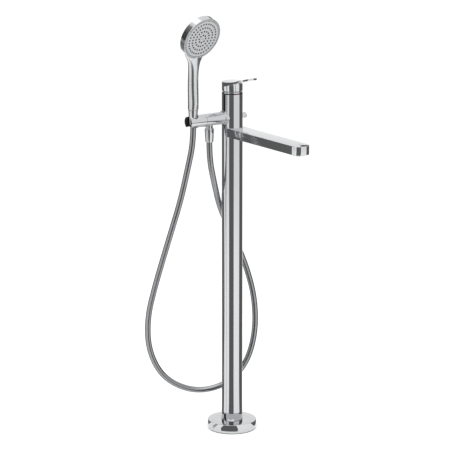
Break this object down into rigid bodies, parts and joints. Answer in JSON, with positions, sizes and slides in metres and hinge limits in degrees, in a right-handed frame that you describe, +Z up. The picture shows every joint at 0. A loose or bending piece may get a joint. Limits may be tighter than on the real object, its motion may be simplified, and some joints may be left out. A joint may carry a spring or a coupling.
{
  "type": "floor standing bath filler",
  "caption": "Floor standing bath filler: round column, flat spout, single lever, pull diverter, and a handset on a swivelling arm holder with its hose.",
  "frame": {"origin": "on the column's axis at floor level, the centre of the floor anchor holes", "axes": "+Z up along the column, the spout and the lever point to -Y, the holder arm to -X, the diverter knob to +X"},
  "size_m": [0.2705, 0.4288, 1.0595],
  "materials": {
    "chrome": "polished",
    "chromed_plastic": "chrome plated",
    "brass": "machined",
    "steel": "turned",
    "rubber": "matte",
    "black_plastic": "satin",
    "white_plastic": "satin",
    "face_plastic": "satin",
    "ring_plastic": "gloss",
    "nozzle_rubber": "matte",
    "red_mark": "gloss",
    "blue_mark": "gloss",
    "hose_cover": "silver, glossy"
  },
  "bodies": {
    "stand": {"floor_flange": "steel", "flange_spigot": "steel", "clamp_screws": "steel", "floor_cover": "chrome", "floor_gasket": "rubber", "cover_seal": "rubber", "hot_inlet_union": "brass", "hot_supply_pipe": "steel", "cold_inlet_union": "brass", "cold_supply_pipe": "steel", "column_tube": "chrome", "valve_body": "brass", "cartridge_body": "white_plastic", "cartridge_nut": "brass", "index_ring": "black_plastic", "trim_ring": "chrome", "hot_mark": "red_mark", "cold_mark": "blue_mark", "spout": "chrome", "spout_nipple": "brass", "aerator_ring": "chrome", "aerator_insert": "black_plastic", "arm": "chrome", "check_valve": "white_plastic", "outlet_nut": "chrome", "outlet_washer": "rubber", "swivel_screw": "steel", "diverter_bush": "brass", "diverter_spring": "steel", "hose": "hose_cover"},
    "mixer_turn": {"cartridge_guide": "white_plastic", "tilt_pin": "steel"},
    "mixer_lever": {"lever": "chrome", "lever_stem": "steel", "lever_grub_screw": "steel", "lever_plug": "chrome"},
    "diverter": {"diverter_spindle": "steel", "diverter_disc": "rubber", "diverter_knob": "chrome"},
    "holder": {"holder_sleeve": "chrome", "holder_insert": "black_plastic"},
    "handset": {"handset_shell": "chromed_plastic", "handset_nut": "chrome", "handset_washer": "rubber", "handset_tail": "brass", "spray_plate": "face_plastic", "face_ring": "ring_plastic", "face_screw": "steel", "spray_nozzles": "nozzle_rubber"}
  },
  "joints": [
    {"name": "lever_turn", "type": "hinge", "parent": "stand", "child": "mixer_turn", "pos_m": [0, 0, 0.846], "axis": [0, 0, 1], "range_deg": [-45, 45]},
    {"name": "lever_lift", "type": "hinge", "parent": "mixer_turn", "child": "mixer_lever", "pos_m": [0, 0, 0.83], "axis": [-1, 0, 0], "range_deg": [0, 22]},
    {"name": "diverter_pull", "type": "slide", "parent": "stand", "child": "diverter", "axis": [1, 0, 0], "range_m": [0, 0.008], "stiffness_N_per_m": 300, "springref_m": -0.003, "deforming": ["diverter_spring"]},
    {"name": "holder_swivel", "type": "hinge", "parent": "stand", "child": "holder", "pos_m": [-0.092, 0, 0.7965], "axis": [1, 0, 0], "range_deg": [-30, 30], "deforming": ["hose"]},
    {"name": "handset_lift", "type": "slide", "parent": "holder", "child": "handset", "axis": [0, 0, 1], "range_m": [0, 0.04], "deforming": ["hose"]}
  ]
}
